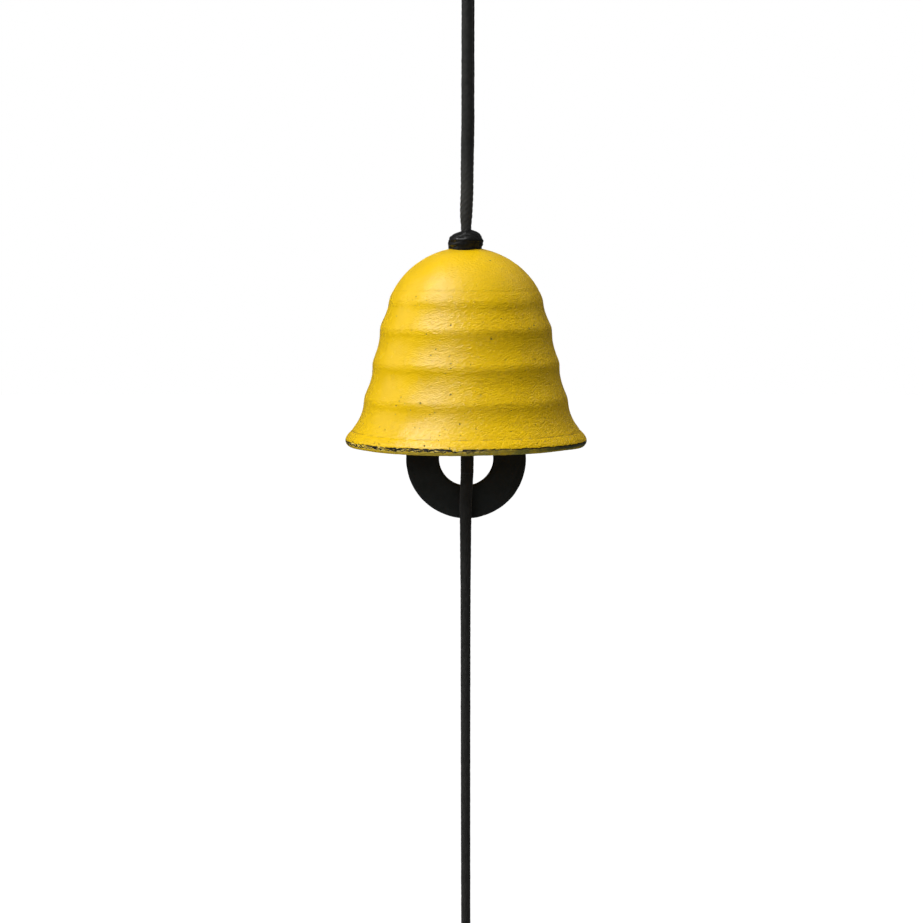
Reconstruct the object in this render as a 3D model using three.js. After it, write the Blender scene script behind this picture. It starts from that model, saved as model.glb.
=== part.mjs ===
// A small wind bell: a painted cast-iron bell on a doubled waxed cord, with a flat iron ring as its clapper
// and a free cord hanging below it for the wind to pull.
// Millimetres, +Z up. The origin is where a hook touches the inside of the hanging eye, and all else hangs
// below it. Z is the bell's axis, and the flat of the clapper ring faces -Y.
import * as THREE from "three";

// Cord, and the gap left between neighbours that touch on the real object
const CORD_DIAMETER = 2.7;
const SEAT_GAP = 0.3;

// Hanging eye: the cord's loop over a hook, and the knot that closes it
const EYE_BEND_RADIUS = 5.6;
const EYE_LENGTH = 27; // from the hook to the middle of the knot
const LOOP_KNOT_RADIUS = 4;

// Doubled cord between the loop knot and the bell
const HANGING_LENGTH = 67.75; // from the middle of the loop knot to the bell's crown
const STRAND_TURN = 0.17; // how far the pair turns about the axis on its way down, in radians

// Bell, from its lip up to its crown
const LIP_DIAMETER = 60.2;
const LIP_WIDTH = 3.4; // across its underside
const LIP_EDGE_RADIUS = 1.2;
const WALL = 2.8;
const FLARE_HEIGHT = 11.6;
const FLARE_REACH = 4.75; // how far the lip stands out past the lowest band
const FLARE_CURVE = 2.05; // power of the flare's curve
const BAND_COUNT = 3;
const BAND_PITCH = 7.2; // height of the top band
const BAND_PITCH_GROWTH = 1; // what each lower band adds to that
const BAND_STEP = 2.1; // what each lower band adds to the radius
const BAND_CURVE = 2.2; // power of the hollow between two ridges
const BAND_SLOPE = 0.2; // share of the step that a band takes evenly
const DOME_RISE = 12;
const CROWN_LAND_RADIUS = 4.9; // flat on top, under the knot
const CROWN_HOLE_CLEARANCE = 0.75; // around the cord
const KNOT_SEAT_RADIUS = 5.6; // flat inside, over the inner knot

// Knots above and below the crown
const CROWN_KNOT_RADIUS = 4.3;
const CROWN_KNOT_HEIGHT = 5.2;
const INNER_KNOT_RADIUS = 4;

// Clapper: a flat ring, hitched to the cord by its upper side
const CLAPPER_RADIUS = 14.9;
const CLAPPER_HOLE_RADIUS = 6.9;
const CLAPPER_THICKNESS = 3;
const CLAPPER_EDGE = 0.5; // bevel of its edges
const CLAPPER_DROP = 3.7; // how far its middle hangs below the lip
const HITCH_GAP = 0.6; // between the ring's faces and the cord
const HITCH_SLACK = 0.7; // between two turns of the hitch
const HITCH_INSET = 1; // how far inside the ring's edges the turns begin to bend
const HITCH_LEAD = 10; // height over which the cord comes off the axis to the ring's front
const HITCH_DROP = 7; // how far the hitch runs on in front, below its turn

// Wind cord
const WIND_PIVOT_DROP = 1.5; // where the cord bends freely, below the ring
const WIND_CORD_LENGTH = 114; // from there to the middle of the end knot
const WIND_CORD_WAVER = 0.2; // how far it strays from a straight line
const END_KNOT_RADIUS = 3.4;
const TAIL_LENGTH = 8;

// Fineness of the surfaces
const BELL_SIDES = 48;
const RING_SIDES = 48;
const CORD_SIDES = 8;
const KNOT_SIDES = 18;
const KNOT_RINGS = 18;
const KNOT_TURNS = 3;
const KNOT_GROOVE = 0.13; // depth of the groove between two turns, as a share of the radius

// Places worked out from the sizes
const CORD_RADIUS = CORD_DIAMETER / 2;
const STRAND_SPREAD = (CORD_DIAMETER + SEAT_GAP) / 2;
const LIP_RADIUS = LIP_DIAMETER / 2;
const BAND_HEIGHTS = Array.from({ length: BAND_COUNT }, (_, band) => BAND_PITCH + band * BAND_PITCH_GROWTH);
const FLARE_RADIUS = LIP_RADIUS - FLARE_REACH;
const SHOULDER_RADIUS = FLARE_RADIUS - BAND_COUNT * BAND_STEP;
const SHOULDER_HEIGHT = FLARE_HEIGHT + BAND_HEIGHTS.reduce((sum, height) => sum + height, 0);
const BELL_HEIGHT = SHOULDER_HEIGHT + DOME_RISE;
const CROWN_HOLE_RADIUS = CORD_RADIUS + CROWN_HOLE_CLEARANCE;

// The dome is part of a ball through the crown's edge and the shoulder, with its middle on the axis.
const DOME_DEPTH = (SHOULDER_RADIUS ** 2 + DOME_RISE ** 2 - CROWN_LAND_RADIUS ** 2) / (2 * DOME_RISE);
const DOME_RADIUS = Math.hypot(CROWN_LAND_RADIUS, DOME_DEPTH);
const DOME_MIDDLE = BELL_HEIGHT - DOME_DEPTH;
const SEAT_HEIGHT = DOME_MIDDLE + Math.sqrt((DOME_RADIUS - WALL) ** 2 - KNOT_SEAT_RADIUS ** 2);

// Heights of the pieces below the hook
const LOOP_KNOT_Z = -EYE_LENGTH;
const CROWN_Z = LOOP_KNOT_Z - HANGING_LENGTH;
const CROWN_KNOT_Z = CROWN_Z + SEAT_GAP + CROWN_KNOT_HEIGHT / 2;
const LIP_Z = CROWN_Z - BELL_HEIGHT;
const INNER_KNOT_Z = LIP_Z + SEAT_HEIGHT - SEAT_GAP - INNER_KNOT_RADIUS;
const CLAPPER_Z = LIP_Z - CLAPPER_DROP;

// The cord's places around the clapper, measured from the ring's middle
const HITCH_PITCH = CORD_DIAMETER + HITCH_SLACK;
const HITCH_SIDE = 0.75 * HITCH_PITCH;
const HITCH_FACE = CLAPPER_THICKNESS / 2 + HITCH_GAP + CORD_RADIUS;
const HITCH_OVER = CLAPPER_RADIUS - HITCH_INSET;
const HITCH_UNDER = Math.sqrt(CLAPPER_HOLE_RADIUS ** 2 - HITCH_SIDE ** 2) + HITCH_INSET;
const HITCH_TOP = HITCH_OVER + HITCH_FACE + HITCH_LEAD;
const HITCH_LOW = HITCH_UNDER - HITCH_FACE;
const DROP_TOP = HITCH_LOW - HITCH_DROP;
const WIND_PIVOT = -CLAPPER_RADIUS - WIND_PIVOT_DROP;

const material = (color, roughness, metalness) => new THREE.MeshStandardMaterial({ color, roughness, metalness });
const YELLOW_PAINT = material(0xe9b91f, 0.5, 0.1);
const BLACK_IRON = material(0x1b1b1a, 0.6, 0.4);
const BLACK_CORD = material(0x262624, 0.75, 0);

const flat = (radius, height) => new THREE.Vector2(radius, height);

function piece(name, geometry, finish, y, z) {
  const mesh = new THREE.Mesh(geometry, finish);
  mesh.name = name;
  mesh.position.set(0, y, z);
  return mesh;
}

// Points on an arc about a middle, with angles in degrees above the radius.
function arc(middle, radius, from, to, steps) {
  return Array.from({ length: steps + 1 }, (_, step) => {
    const angle = THREE.MathUtils.degToRad(from + ((to - from) * step) / steps);
    return flat(middle.x + radius * Math.cos(angle), middle.y + radius * Math.sin(angle));
  });
}

// An outline of (radius, height) points turned about Z.
function turned(outline, sides) {
  return new THREE.LatheGeometry(outline, sides).rotateX(Math.PI / 2);
}

// A cord along a smooth line through points, cut square at both ends.
function cord(points, steps) {
  return new THREE.ExtrudeGeometry(new THREE.Shape().absarc(0, 0, CORD_RADIUS, 0, 2 * Math.PI), {
    steps,
    curveSegments: CORD_SIDES / 2,
    bevelEnabled: false,
    extrudePath: new THREE.CatmullRomCurve3(points),
  });
}

// A straight cord down from a square top to a square end.
function straightCord(length) {
  return turned([flat(0, -length), flat(CORD_RADIUS, -length), flat(CORD_RADIUS, 0), flat(0, 0)], CORD_SIDES);
}

// A straight cord down from a square top to a half-round end.
function roundEndedCord(length) {
  const end = arc(flat(0, CORD_RADIUS - length), CORD_RADIUS, -90, 0, 4);
  return turned([...end, flat(CORD_RADIUS, 0), flat(0, 0)], CORD_SIDES);
}

// A knot, as a ball of cord wound in one spiral and a little fuller than an ellipsoid.
function woundKnot(radius, height) {
  const corners = [new THREE.Vector3(0, 0, -height / 2)];
  for (let ring = 1; ring < KNOT_RINGS; ring++) {
    const polar = (Math.PI * ring) / KNOT_RINGS;
    const across = radius * Math.sin(polar) ** 0.8;
    const up = (-height / 2) * Math.cos(polar);
    for (let side = 0; side < KNOT_SIDES; side++) {
      const around = (2 * Math.PI * side) / KNOT_SIDES;
      const groove = (0.5 + 0.5 * Math.cos(2 * KNOT_TURNS * polar + around)) * Math.sin(polar);
      const reach = across * (1 - KNOT_GROOVE * groove);
      corners.push(new THREE.Vector3(reach * Math.cos(around), reach * Math.sin(around), up));
    }
  }
  corners.push(new THREE.Vector3(0, 0, height / 2));
  const top = corners.length - 1;
  const at = (ring, side) => 1 + (ring - 1) * KNOT_SIDES + (side % KNOT_SIDES);
  const faces = [];
  for (let side = 0; side < KNOT_SIDES; side++) {
    faces.push(0, at(1, side + 1), at(1, side));
    faces.push(top, at(KNOT_RINGS - 1, side), at(KNOT_RINGS - 1, side + 1));
    for (let ring = 1; ring < KNOT_RINGS - 1; ring++) {
      faces.push(at(ring, side), at(ring, side + 1), at(ring + 1, side + 1));
      faces.push(at(ring, side), at(ring + 1, side + 1), at(ring + 1, side));
    }
  }
  return new THREE.BufferGeometry().setFromPoints(corners).setIndex(faces);
}

// A curve that leaves its start along the wall and turns outwards; its start is left out.
function flare(start, end, steps) {
  return Array.from({ length: steps }, (_, step) => {
    const along = (step + 1) / steps;
    return flat(start.x + (end.x - start.x) * along ** FLARE_CURVE, start.y + (end.y - start.y) * along);
  });
}

// The ridges and hollows below the shoulder.
function bands() {
  const steps = 6;
  const outline = [];
  let radius = SHOULDER_RADIUS;
  let height = SHOULDER_HEIGHT;
  for (const bandHeight of BAND_HEIGHTS) {
    for (let step = 1; step <= steps; step++) {
      const down = step / steps;
      const out = BAND_SLOPE * down + (1 - BAND_SLOPE) * down ** BAND_CURVE;
      outline.push(flat(radius + BAND_STEP * out, height - bandHeight * down));
    }
    radius += BAND_STEP;
    height -= bandHeight;
  }
  return outline;
}

// The bell: down its outside from the crown, round the lip, up its plainer inside and through the cord's hole.
function bellShell() {
  const angleOf = (radius, height) => THREE.MathUtils.radToDeg(Math.atan2(height - DOME_MIDDLE, radius));
  const domeMiddle = flat(0, DOME_MIDDLE);
  const crownAngle = angleOf(CROWN_LAND_RADIUS, BELL_HEIGHT);
  const shoulderAngle = angleOf(SHOULDER_RADIUS, SHOULDER_HEIGHT);
  const seatAngle = angleOf(KNOT_SEAT_RADIUS, SEAT_HEIGHT);
  const edgeMiddle = flat(LIP_RADIUS - LIP_EDGE_RADIUS, LIP_EDGE_RADIUS);
  const edge = arc(edgeMiddle, LIP_EDGE_RADIUS, 40, -90, 5);
  const mouth = flat(LIP_RADIUS - LIP_WIDTH, 0);
  const throat = flat(FLARE_RADIUS - WALL, FLARE_HEIGHT);
  const outside = [
    ...arc(domeMiddle, DOME_RADIUS, crownAngle, shoulderAngle, 7),
    ...bands(),
    ...flare(flat(FLARE_RADIUS, FLARE_HEIGHT), edge[0], 6),
    ...edge.slice(1),
  ];
  const inside = [
    mouth,
    ...flare(throat, mouth, 5).reverse().slice(1),
    throat,
    ...arc(domeMiddle, DOME_RADIUS - WALL, shoulderAngle, seatAngle, 6),
  ];
  const hole = [flat(CROWN_HOLE_RADIUS, SEAT_HEIGHT), flat(CROWN_HOLE_RADIUS, BELL_HEIGHT)];
  return turned([...outside, ...inside, ...hole, outside[0]].reverse(), BELL_SIDES);
}

// The ring's section is a bevelled bar, turned about Y.
function clapperRing() {
  const face = CLAPPER_THICKNESS / 2;
  const side = face - CLAPPER_EDGE;
  const inner = CLAPPER_HOLE_RADIUS;
  const outer = CLAPPER_RADIUS;
  const section = [
    flat(inner, -side),
    flat(inner + CLAPPER_EDGE, -face),
    flat(outer - CLAPPER_EDGE, -face),
    flat(outer, -side),
    flat(outer, side),
    flat(outer - CLAPPER_EDGE, face),
    flat(inner + CLAPPER_EDGE, face),
    flat(inner, side),
  ];
  return new THREE.LatheGeometry([...section, section[0]], RING_SIDES);
}

// The eye leaves its knot upwards, opens, and bends over the hook in the plane of Y and Z.
function hangingEye() {
  const foot = LOOP_KNOT_Z + LOOP_KNOT_RADIUS + SEAT_GAP;
  const bend = arc(flat(0, CORD_RADIUS - EYE_BEND_RADIUS), EYE_BEND_RADIUS, -25, 205, 8);
  const outline = [
    flat(STRAND_SPREAD, foot),
    flat(STRAND_SPREAD, foot + CORD_DIAMETER),
    ...bend,
    flat(-STRAND_SPREAD, foot + CORD_DIAMETER),
    flat(-STRAND_SPREAD, foot),
  ];
  const route = outline.map((point) => new THREE.Vector3(0, point.x, point.y));
  return cord(route, 30);
}

// One strand of the doubled cord; side is -1 in front and 1 behind.
function hangingStrand(side) {
  const top = LOOP_KNOT_Z - LOOP_KNOT_RADIUS - SEAT_GAP;
  const bottom = CROWN_KNOT_Z + CROWN_KNOT_HEIGHT / 2 + SEAT_GAP;
  const route = Array.from({ length: 5 }, (_, step) => {
    const down = step / 4;
    const turn = STRAND_TURN * (1 - down);
    const reach = side * STRAND_SPREAD;
    return new THREE.Vector3(reach * Math.sin(turn), reach * Math.cos(turn), top + (bottom - top) * down);
  });
  return cord(route, 12);
}

// The hitch: off the axis to the ring's front, once round its upper side, and straight down in front.
function hitchRoute() {
  const route = [
    new THREE.Vector3(0, 0, HITCH_TOP),
    new THREE.Vector3(0, 0, HITCH_TOP - CORD_DIAMETER),
    new THREE.Vector3(-HITCH_PITCH, -0.5 * HITCH_FACE, HITCH_OVER + HITCH_FACE + 0.25 * HITCH_LEAD),
  ];
  for (let step = 2; step <= 14; step++) {
    const turn = ((step + 0.5) * Math.PI) / 6;
    const x = HITCH_PITCH * (turn / (2 * Math.PI) - 1.25);
    const bend = Math.cos(turn) > 0 ? HITCH_OVER : HITCH_UNDER;
    route.push(new THREE.Vector3(x, -HITCH_FACE * Math.sin(turn), bend + HITCH_FACE * Math.cos(turn)));
  }
  for (const height of [HITCH_UNDER + HITCH_FACE, HITCH_UNDER, HITCH_LOW, DROP_TOP]) {
    route.push(new THREE.Vector3(0, -HITCH_FACE, height));
  }
  return route;
}

// The least room between a cord and a later stretch of itself, from points along it.
function leastGap(route) {
  const curve = new THREE.CatmullRomCurve3(route);
  const points = curve.getSpacedPoints(300);
  const apart = Math.ceil((2.5 * CORD_DIAMETER * 300) / curve.getLength());
  let least = Infinity;
  points.forEach((point, i) => {
    points.slice(i + apart).forEach((other) => {
      least = Math.min(least, point.distanceTo(other) - CORD_DIAMETER);
    });
  });
  return least;
}

function windCord() {
  const top = -CORD_RADIUS - SEAT_GAP;
  const bottom = END_KNOT_RADIUS + SEAT_GAP - WIND_CORD_LENGTH;
  const route = Array.from({ length: 16 }, (_, step) => {
    const down = step / 15;
    const x = WIND_CORD_WAVER * Math.sin(2 * Math.PI * down);
    const y = WIND_CORD_WAVER * Math.sin(Math.PI * down);
    return new THREE.Vector3(x, y, top + (bottom - top) * down);
  });
  return cord(route, 18);
}

// Hanging eye, doubled cord and the knots that hold the bell
const windBell = new THREE.Group();
windBell.name = "wind_bell";
windBell.add(
  piece("hanging_eye", hangingEye(), BLACK_CORD, 0, 0),
  piece("loop_knot", woundKnot(LOOP_KNOT_RADIUS, 2 * LOOP_KNOT_RADIUS), BLACK_CORD, 0, LOOP_KNOT_Z),
  piece("hanging_cord_front", hangingStrand(-1), BLACK_CORD, 0, 0),
  piece("hanging_cord_rear", hangingStrand(1), BLACK_CORD, 0, 0),
  piece("crown_knot", woundKnot(CROWN_KNOT_RADIUS, CROWN_KNOT_HEIGHT), BLACK_CORD, 0, CROWN_KNOT_Z),
  piece("neck_cord", straightCord(BELL_HEIGHT - SEAT_HEIGHT), BLACK_CORD, 0, CROWN_Z),
  piece("bell_shell", bellShell(), YELLOW_PAINT, 0, LIP_Z),
  piece("inner_knot", woundKnot(INNER_KNOT_RADIUS, 2 * INNER_KNOT_RADIUS), BLACK_CORD, 0, INNER_KNOT_Z),
);

// Clapper, hung from the inner knot
const clapperCordTop = INNER_KNOT_Z - CLAPPER_Z - INNER_KNOT_RADIUS - SEAT_GAP;
const dropTop = DROP_TOP - SEAT_GAP;
const clapper = new THREE.Group();
clapper.position.z = CLAPPER_Z;
clapper.add(
  piece("clapper_cord", straightCord(clapperCordTop - HITCH_TOP - SEAT_GAP), BLACK_CORD, 0, clapperCordTop),
  piece("clapper_hitch", cord(hitchRoute(), 48), BLACK_CORD, 0, 0),
  piece("clapper_ring", clapperRing(), BLACK_IRON, 0, 0),
  piece("drop_cord", roundEndedCord(dropTop - WIND_PIVOT + CORD_RADIUS), BLACK_CORD, -HITCH_FACE, dropTop),
);
windBell.add(clapper);
console.log(`least gap of clapper_hitch to itself: ${leastGap(hitchRoute()).toFixed(2)} mm`);

// Wind cord, free below the clapper
const tailTop = -WIND_CORD_LENGTH - END_KNOT_RADIUS - SEAT_GAP;
const wind = new THREE.Group();
wind.position.set(0, -HITCH_FACE, WIND_PIVOT);
wind.add(
  piece("wind_cord", windCord(), BLACK_CORD, 0, 0),
  piece("end_knot", woundKnot(END_KNOT_RADIUS, 2 * END_KNOT_RADIUS), BLACK_CORD, 0, -WIND_CORD_LENGTH),
  piece("cord_tail", straightCord(TAIL_LENGTH), BLACK_CORD, 0, tailTop),
);
clapper.add(wind);

export default windBell;
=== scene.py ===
import math

import bpy
import numpy as np
from mathutils import Matrix, Vector, noise


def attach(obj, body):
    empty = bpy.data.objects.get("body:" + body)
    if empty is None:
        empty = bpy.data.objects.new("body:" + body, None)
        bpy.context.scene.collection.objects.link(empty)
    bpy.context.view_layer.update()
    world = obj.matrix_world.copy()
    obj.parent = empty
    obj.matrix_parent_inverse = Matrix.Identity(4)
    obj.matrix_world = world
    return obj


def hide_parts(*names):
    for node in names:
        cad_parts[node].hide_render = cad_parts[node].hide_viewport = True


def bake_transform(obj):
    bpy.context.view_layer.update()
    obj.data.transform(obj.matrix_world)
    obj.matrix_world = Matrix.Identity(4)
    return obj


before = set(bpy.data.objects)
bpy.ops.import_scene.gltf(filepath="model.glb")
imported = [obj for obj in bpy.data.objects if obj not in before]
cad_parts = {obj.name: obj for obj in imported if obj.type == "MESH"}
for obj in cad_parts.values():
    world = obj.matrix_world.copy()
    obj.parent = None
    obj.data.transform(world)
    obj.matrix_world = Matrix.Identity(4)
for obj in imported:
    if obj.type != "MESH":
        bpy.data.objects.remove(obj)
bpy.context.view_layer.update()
MM = 0.001

# Sizes in millimetres; a name that ends in Z is a height in the part's frame
CORD_R = 1.35
STRAND_SPREAD = 1.5  # from the axis to each hanging strand
STRAND_TURN = 0.17  # radians that the two strands turn about each other
EYE_BEND_R = 5.6
LOOP_KNOT_Z, LOOP_KNOT_R = -27.0, 4.0
CROWN_Z = -94.75
CROWN_KNOT_Z = -91.85
LIP_Z = -142.95
INNER_KNOT_Z, INNER_KNOT_R = -102.16, 4.0
RING_Z, RING_R, RING_HOLE_R, RING_T = -146.65, 14.98, 6.78, 3.0
END_KNOT_Z, END_KNOT_R = -277.05, 3.4
TAIL_END_Z = -288.75

# The bell, with heights above its lip
LAND_R, CROWN_HOLE_R = 3.3, 2.1  # the flat land on the crown and the hole in it
SEAT_H, SEAT_R = 45.09, 5.6  # the flat seat inside, for the inner knot
LIP_R, LIP_W, WALL = 30.1, 3.4, 2.8
THROAT_R, THROAT_H = 22.55, 11.6  # where the inside starts to flare
DOME_R, DOME_MID = 20.65, 28.15
SHOULDER_H = 35.9
# Ridges from the shoulder down: height, radius, and the slope and power of the hollow above each
RIDGES = ((29.23, 21.36, -0.45, 1.56), (20.68, 23.38, -0.44, 2.02), (11.95, 25.42, -0.56, 2.0))
FLARE_POWER, MOUTH_POWER = 2.34, 2.05  # how late the bell flares, outside and inside
EDGE_R, EDGE_LIP_R = 1.2, 30.38  # the rounding of the lip, and its radius before the corners are softened
SOFTNESS = 0.86
FRONT_SAG = 0.45  # how far the ridges hang at the front
LIP_DROP = 0.22  # how far the lip hangs at the left and at the far right
KNOT_SEAT_R = 5.6  # within this the crown is even, under the knot
SCRIBED = ((38.1, 0.44, 0.3), (3.6, 0.38, 0.5))  # turned lines: height, how broken, and how dark the painted shade in their grooves is
GROOVE_DEPTH, GROOVE_WIDTH = 0.10, 0.21


# Lines, grids and meshes
SPLINE_STEPS = 40  # places worked out between two points of a smooth line


def new_mesh(name, verts, faces):
    """A smooth piece from vertices in millimetres."""
    mesh = bpy.data.meshes.new(name)
    mesh.from_pydata((np.asarray(verts) * MM).tolist(), [], faces)
    mesh.update()
    mesh.polygons.foreach_set("use_smooth", [True] * len(mesh.polygons))
    obj = bpy.data.objects.new(name, mesh)
    bpy.context.collection.objects.link(obj)
    return obj


def coordinates(obj):
    """A piece's vertices in millimetres."""
    co = np.empty(len(obj.data.vertices) * 3, np.float32)
    obj.data.vertices.foreach_get("co", co)
    return co.reshape(-1, 3).astype(float) / MM


def move_vertices(obj, co):
    """Put a piece's vertices at co, in millimetres."""
    obj.data.vertices.foreach_set("co", (co * MM).astype(np.float32).ravel())
    obj.data.update()


def angles(sides):
    return np.linspace(0, 2 * np.pi, sides, endpoint=False)


def by_table(rows, at):
    """Values read off a table of places and values, straight from row to row."""
    return np.interp(at, *zip(*rows))


def round_noise(radius, angle, level, shift=0.0):
    """Noise that closes around Z."""
    return noise.noise(Vector((radius * math.cos(angle) + shift, radius * math.sin(angle), level)))


def uneven(place, depth, size):
    """Unevenness of so much depth, in lumps of about this size."""
    return depth * noise.noise(place / size)


def grid_faces(rows, cols, close_rows=False):
    """Quads of a grid that closes around its columns, and around its rows if asked."""
    faces = []
    for i in range(rows if close_rows else rows - 1):
        a, b = i * cols, ((i + 1) % rows) * cols
        faces += [(a + j, a + (j + 1) % cols, b + (j + 1) % cols, b + j) for j in range(cols)]
    return faces


def tube_faces(rows, sides):
    """Faces of a grid closed at its first and last row by two more points."""
    faces = grid_faces(rows, sides)
    first, end = rows * sides, (rows - 1) * sides
    for j in range(sides):
        k = (j + 1) % sides
        faces += [(first, k, j), (first + 1, end + j, end + k)]
    return faces


def run_of(points):
    """How far along a line each of its points lies."""
    return np.concatenate([[0], np.cumsum(np.linalg.norm(np.diff(points, axis=0), axis=1))])


def places(points, at):
    """The places that lie so far along a line."""
    run = run_of(points)
    return np.stack([np.interp(at, run, column) for column in points.T], axis=1)


def smooth_line(points, spacing):
    """Evenly spaced places on a smooth line through points."""
    p = np.asarray(points, float)
    p = np.vstack([2 * p[0] - p[1], p, 2 * p[-1] - p[-2]])
    dense = []
    for i in range(1, len(p) - 2):
        p0, p1, p2, p3 = p[i - 1:i + 3]
        t1 = np.linalg.norm(p1 - p0) ** 0.5
        t2 = t1 + np.linalg.norm(p2 - p1) ** 0.5
        t3 = t2 + np.linalg.norm(p3 - p2) ** 0.5
        t = np.linspace(t1, t2, SPLINE_STEPS, endpoint=i == len(p) - 3)[:, None]
        a1 = (t1 - t) / t1 * p0 + t / t1 * p1
        a2 = (t2 - t) / (t2 - t1) * p1 + (t - t1) / (t2 - t1) * p2
        a3 = (t3 - t) / (t3 - t2) * p2 + (t - t2) / (t3 - t2) * p3
        b1 = (t2 - t) / t2 * a1 + t / t2 * a2
        b2 = (t3 - t) / (t3 - t1) * a2 + (t - t1) / (t3 - t1) * a3
        dense.append((t2 - t) / (t2 - t1) * b1 + (t - t1) / (t2 - t1) * b2)
    dense = np.vstack(dense)
    length = run_of(dense)[-1]
    count = max(2, int(round(length / spacing))) + 1
    return places(dense, np.linspace(0, length, count))


def across(points):
    """Two directions across a line at each of its points, turning as little as they can."""
    tangent = np.gradient(points, axis=0)
    tangent /= np.linalg.norm(tangent, axis=1)[:, None]
    first = np.cross(tangent[0], (0, 1.0, 0))
    if np.linalg.norm(first) < 0.1:
        first = np.cross(tangent[0], (1.0, 0, 0))
    u = [first / np.linalg.norm(first)]
    for t in tangent[1:]:
        a = u[-1] - t * (u[-1] @ t)
        u.append(a / np.linalg.norm(a))
    u = np.array(u)
    return u, np.cross(tangent, u)


def sweep(points, radii, sides_of=None):
    """Vertices and faces of a closed tube: radii has one row per point and one column per side."""
    rows, sides = radii.shape
    u, v = across(points) if sides_of is None else sides_of
    theta = angles(sides)
    ring = np.cos(theta)[None, :, None] * u[:, None] + np.sin(theta)[None, :, None] * v[:, None]
    verts = (points[:, None] + radii[..., None] * ring).reshape(-1, 3)
    return np.vstack([verts, points[0], points[-1]]), tube_faces(rows, sides)


def wrinkle(obj, depth, size, seed):
    """Small unevenness along the normals, in millimetres."""
    co = coordinates(obj)
    normal = np.empty(len(co) * 3, np.float32)
    obj.data.vertices.foreach_get("normal", normal)
    normal = normal.reshape(-1, 3)
    move = np.array([noise.fractal(Vector(p / size) + Vector((seed, 0, 0)), 1.0, 2.0, 3) for p in co])
    move_vertices(obj, co + depth * move[:, None] * normal)


# Procedural materials
MIX_A, MIX_B, MIX_RESULT = 6, 7, 2  # the colour sockets of a Mix node


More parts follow.
